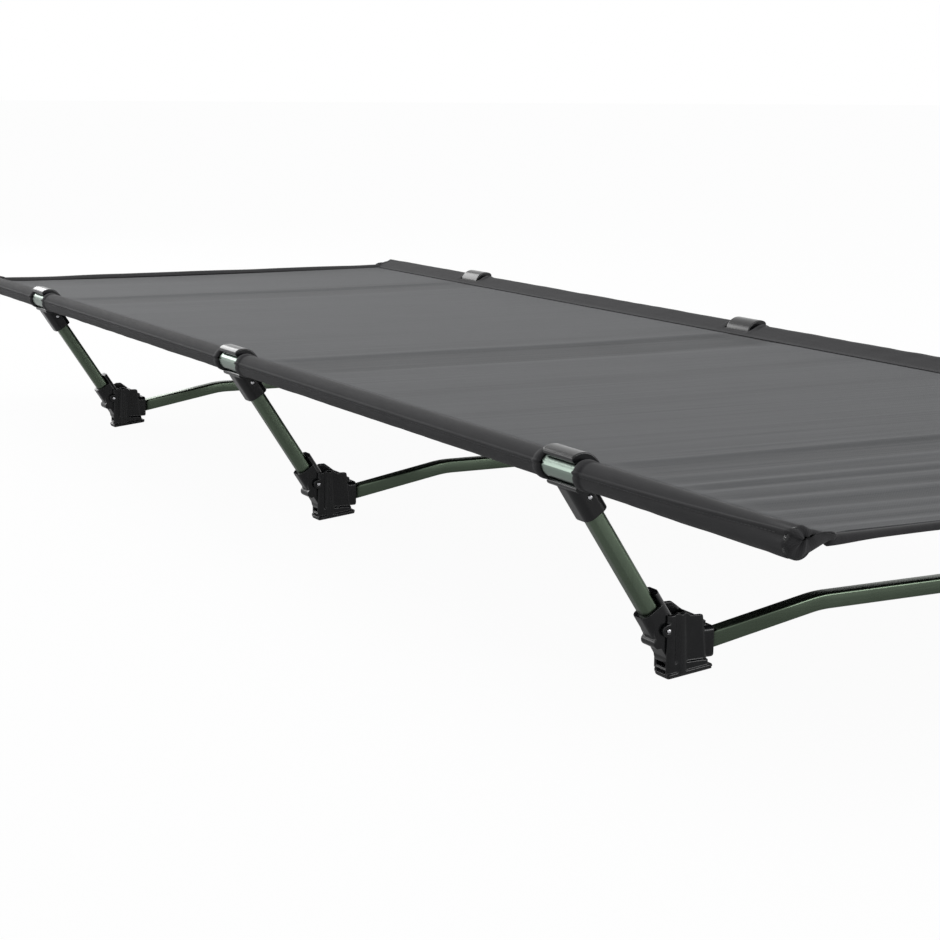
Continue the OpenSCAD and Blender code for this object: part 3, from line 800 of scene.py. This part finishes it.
for leg in LEGS:
    for side, sign in SIDES.items():
        points = []
        for drop in (strut_top, strut_top + 0.002, strut_foot - 0.002, strut_foot):
            for outward, along_y in outline:
                x = rail_x + outward * math.cos(arm_angle) - drop * math.sin(arm_angle)
                z = rail_z - outward * math.sin(arm_angle) - drop * math.cos(arm_angle)
                points.append((sign * x, leg_y[leg] + along_y, z))
        n = len(outline)
        faces = [(r * n + k, r * n + (k + 1) % n, (r + 1) * n + (k + 1) % n, (r + 1) * n + k)
                 for r in range(3) for k in range(n)]
        mesh = bpy.data.meshes.new(leg + "_" + side + "_strut_tube")
        mesh.from_pydata(points, [], faces)
        mended(mesh, strut_welded, faces_outward)
        mesh.materials.append(strut_metals[side])
        strut = in_scene(mesh.name, mesh)
        shaded_round(strut)
        walled(strut, "wall", leg_wall, -1.0)
        dressed(strut, leg + "_" + side + "_strut")

# ---- Clips, levers and hubs ----
# Glossy black plastic, injection moulded, so every edge has a small radius. The
# clips snap on the rails, and the levers turn between the hubs' cheeks.
mirror = Matrix.Scale(-1.0, 4, (1.0, 0.0, 0.0))
# part, size of its remeshed cells, rounds of smoothing, share of its triangles kept
moulded_parts = (("clip", 0.00045, 8, 0.3), ("lever", 0.00045, 8, 0.3), ("hub", 0.00042, 16, 0.4))

# Dust: settles near the floor, in patches, most of it on faces that look up
dust, asked, given = new_tree("dust", "ShaderNodeTree", {"Vector": "Vector", "Facing Up": 0.0}, {"Dust": "Float"})
apart = added(dust, "ShaderNodeSeparateXYZ", {0: asked["Vector"]}).outputs
near_floor = added(dust, "ShaderNodeClamp", {"Value": less(dust, 1.0, times(dust, apart[2], 12.0))})
upward_share = plus(dust, 0.2, times(dust, worked(dust, "MAXIMUM", asked["Facing Up"], 0.0), 0.8))
patches = less(dust, noise_of(dust, asked["Vector"], 90.0, 6.0, 0.65), 0.42)
patches = times(dust, worked(dust, "MAXIMUM", patches, 0.0), 3.0)
fed(dust, given, {"Dust": times(dust, times(dust, near_floor.outputs[0], upward_share), patches)})

plastic, tree, shader = finish("moulded_plastic")
place = object_place(tree)
handled = noise_of(tree, place, 35.0, 5.0, 0.6)
speckle = noise_of(tree, place, 1400.0, 2.0)
surface = added(tree, "ShaderNodeNewGeometry").outputs
worn = added(tree, "ShaderNodeGroup", {"Vector": place, "Pointiness": surface["Pointiness"]},
             node_tree=edge_wear).outputs[0]
facing = added(tree, "ShaderNodeSeparateXYZ", {0: surface["Normal"]}).outputs
settled = added(tree, "ShaderNodeGroup", {"Vector": place, "Facing Up": facing[2]}, node_tree=dust).outputs[0]
shade = plus(tree, plus(tree, 0.8, times(tree, handled, 0.4)),
             plus(tree, times(tree, worn, 0.35), times(tree, settled, 2.6)))
tinted(tree, (0.0085, 0.0088, 0.0098), shade, shader)
bumped(tree, speckle, shader, 0.000008, 0.15)
rough = plus(tree, plus(tree, 0.14, times(tree, handled, 0.14)), times(tree, settled, 0.25))
fed(tree, shader, {"Roughness": rough, "Specular IOR Level": 0.36})


def moulded(node, voxel, rounds, keep):
    """A CAD solid's mesh with its edges eased, as a mould leaves them."""
    piece = merged_copy(node, node + "_moulded")
    skin = piece.modifiers.new("skin", "REMESH")
    skin.mode = "VOXEL"
    skin.voxel_size = voxel
    ease = piece.modifiers.new("ease", "SMOOTH")
    ease.factor = 0.5
    ease.iterations = rounds
    thin = piece.modifiers.new("thin", "DECIMATE")
    thin.ratio = keep
    graph = bpy.context.evaluated_depsgraph_get()
    mesh = bpy.data.meshes.new_from_object(piece.evaluated_get(graph))
    mesh.name = piece.name
    mesh.shade_smooth()
    mesh.materials.clear()
    mesh.materials.append(plastic)
    bpy.data.objects.remove(piece)
    return mesh


for part, voxel, rounds, keep in moulded_parts:
    pattern = moulded("foot_left_" + part, voxel, rounds, keep)
    for leg in LEGS:
        for side, sign in SIDES.items():
            node = leg + "_" + side + "_" + part
            mesh = pattern.copy()
            mesh.name = node + "_moulded"
            mesh.transform(Matrix.Translation((0.0, leg_y[leg] - leg_y["foot"], 0.0)))
            if sign > 0:
                mesh.transform(mirror)
                mesh.flip_normals()
            dressed(in_scene(mesh.name, mesh), node)

for side in SIDES:
    drawn_tube(side + "_end_caps", plastic)

# ---- Pins and rivets ----
# Plain steel pivot pins and rivets with low domed heads, set flush with the
# plastic. Their polish is broken by fine scuffs.
steel, tree, shader = finish("turned_steel")
scuffs = noise_of(tree, object_place(tree), 700.0, 4.0, 0.6)
tinted(tree, (0.68, 0.68, 0.7), plus(tree, 0.85, times(tree, scuffs, 0.3)), shader)
fed(tree, shader, {"Roughness": plus(tree, 0.16, times(tree, scuffs, 0.2)), "Metallic": 1.0})

pin_tree, asked, given = new_tree("turned_pins", "GeometryNodeTree", {
    "Radius": 0.002, "Length": 0.03, "Dome": 0.0006, "Spread": 0.0, "Count": 1, "Material": "Material"},
    {"Geometry": "Geometry"})
straight = less(pin_tree, asked["Length"], times(pin_tree, asked["Dome"], 2.0))
shank = added(pin_tree, "GeometryNodeMeshCylinder", {"Vertices": 28, "Radius": asked["Radius"],
                                                     "Depth": straight})
ball = added(pin_tree, "GeometryNodeMeshUVSphere", {"Segments": 28, "Rings": 10, "Radius": 1.0})
whole_pin = added(pin_tree, "GeometryNodeJoinGeometry", {0: shank.outputs["Mesh"]})
dome_size = added(pin_tree, "ShaderNodeCombineXYZ", {0: asked["Radius"], 1: asked["Radius"], 2: asked["Dome"]})
for end in (-0.5, 0.5):
    at_end = added(pin_tree, "ShaderNodeCombineXYZ", {2: times(pin_tree, straight, end)})
    head = added(pin_tree, "GeometryNodeTransform", {
        "Geometry": ball.outputs["Mesh"], "Translation": at_end.outputs[0], "Scale": dome_size.outputs[0]})
    fed(pin_tree, whole_pin, {0: head.outputs[0]})
lying = added(pin_tree, "GeometryNodeTransform", {"Geometry": whole_pin.outputs[0],
                                                  "Rotation": (math.radians(90), 0.0, 0.0)})
first = added(pin_tree, "ShaderNodeCombineXYZ", {0: times(pin_tree, asked["Spread"], -0.5)})
step = added(pin_tree, "ShaderNodeCombineXYZ", {0: asked["Spread"]})
places = added(pin_tree, "GeometryNodeMeshLine", {"Count": asked["Count"], "Start Location": first.outputs[0],
                                                  "Offset": step.outputs[0]})
spread_out = added(pin_tree, "GeometryNodeInstanceOnPoints", {"Points": places.outputs[0],
                                                              "Instance": lying.outputs[0]})
painted(pin_tree, spread_out.outputs[0], asked, given)

for leg in LEGS:
    for ending in ("_pivot_pins", "_crossbar_rivets", "_left_clip_rivet", "_right_clip_rivet"):
        node = leg + ending
        low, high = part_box(node)
        radius = (high.z - low.z) / 2
        pair = high.x - low.x > 4 * radius
        piece = grown(pin_tree, node + "_turned", {
            "Radius": radius, "Length": high.y - low.y, "Dome": 0.0007,
            "Spread": high.x - low.x - 2 * radius if pair else 0.0, "Count": 2 if pair else 1, "Material": steel})
        piece.data.transform(Matrix.Translation((low + high) / 2))
        shaded_round(piece)
        dressed(piece, node)

# ---- Stitching ----
# Even lockstitch in dark twisted thread holds the sleeves to the deck, and runs
# along the felled seam on each sleeve's outer side.
thread, tree, shader = finish("seam_thread")
strands = noise_of(tree, object_place(tree), 2600.0, 2.0)
tinted(tree, (0.05, 0.05, 0.053), plus(tree, 0.7, times(tree, strands, 0.6)), shader)
bumped(tree, strands, shader, 0.00005, 0.5)
fed(tree, shader, {"Roughness": plus(tree, 0.45, times(tree, strands, 0.3))})

stitch_tree, asked, given = new_tree("stitch_row", "GeometryNodeTree", {
    "Seam": "Geometry", "Pitch": 0.0042, "Stitch": 0.0015, "Thread": 0.0003, "Material": "Material"},
    {"Geometry": "Geometry"})
path = added(stitch_tree, "GeometryNodeMeshToCurve", {0: asked["Seam"]})
along = added(stitch_tree, "GeometryNodeCurveToPoints", {"Curve": path.outputs[0], "Length": asked["Pitch"]},
              mode="LENGTH").outputs
bead = added(stitch_tree, "GeometryNodeMeshUVSphere", {"Segments": 6, "Rings": 5, "Radius": 1.0})
size = added(stitch_tree, "ShaderNodeCombineXYZ", {0: asked["Thread"], 1: asked["Thread"], 2: asked["Stitch"]})
stitched = added(stitch_tree, "GeometryNodeInstanceOnPoints", {
    "Points": along["Points"], "Instance": bead.outputs["Mesh"], "Rotation": along["Rotation"],
    "Scale": size.outputs[0]})
painted(stitch_tree, stitched.outputs[0], asked, given)

window_gaps = [(low - 0.002, high + 0.002) for low, high in windows]
for side, sign in SIDES.items():
    lines = [[(sign * (seam_x - lap * 0.45), y, rail_z + face * 0.0016)
              for y in np.linspace(deck_low.y, deck_high.y, 400)] for face in (1, -1)]
    run = []
    for y in np.linspace(-rail_end + 0.012, rail_end - 0.012, 700):
        if any(low < y < high for low, high in window_gaps):
            if run:
                lines.append(run)
            run = []
            continue
        turn = math.radians(seam_angle(y) - 10.0)
        outward, up = sleeve_radius * math.cos(turn), sleeve_radius * math.sin(turn)
        length = min(section, key=lambda entry: math.dist(entry[1], (outward, up)))[0]
        stand = 1.0 + (sleeve_wrinkle(y, length, outward, up, 3.0 * sign) + cloth_wall / 2) / sleeve_radius
        run.append((sign * (rail_x + outward * stand), y, rail_z + up * stand))
    lines.append(run)
    stitches = grown(stitch_tree, side + "_sleeve_stitches", {"Material": thread}, lines)
    stitches.data.shade_smooth()
    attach(stitches, body_of_node(side + "_sleeve"))

# ---- Ground pads ----
# Thin rubber soles under the foot plates. They are matt, with dust in the
# rubber's pores, and they keep the hubs from sliding.
rubber, tree, shader = finish("pad_rubber")
dusty = noise_of(tree, object_place(tree), 120.0, 6.0, 0.65)
tinted(tree, (0.02, 0.02, 0.02), plus(tree, 0.7, times(tree, dusty, 0.8)), shader)
bumped(tree, dusty, shader, 0.0001, 0.4)
fed(tree, shader, {"Roughness": plus(tree, 0.6, times(tree, dusty, 0.3))})
for leg in LEGS:
    pads = merged_copy(leg + "_ground_pads", leg + "_ground_pads_rubber")
    pads.data.materials.append(rubber)
    shaded_round(pads)
    dressed(pads, leg + "_ground_pads")
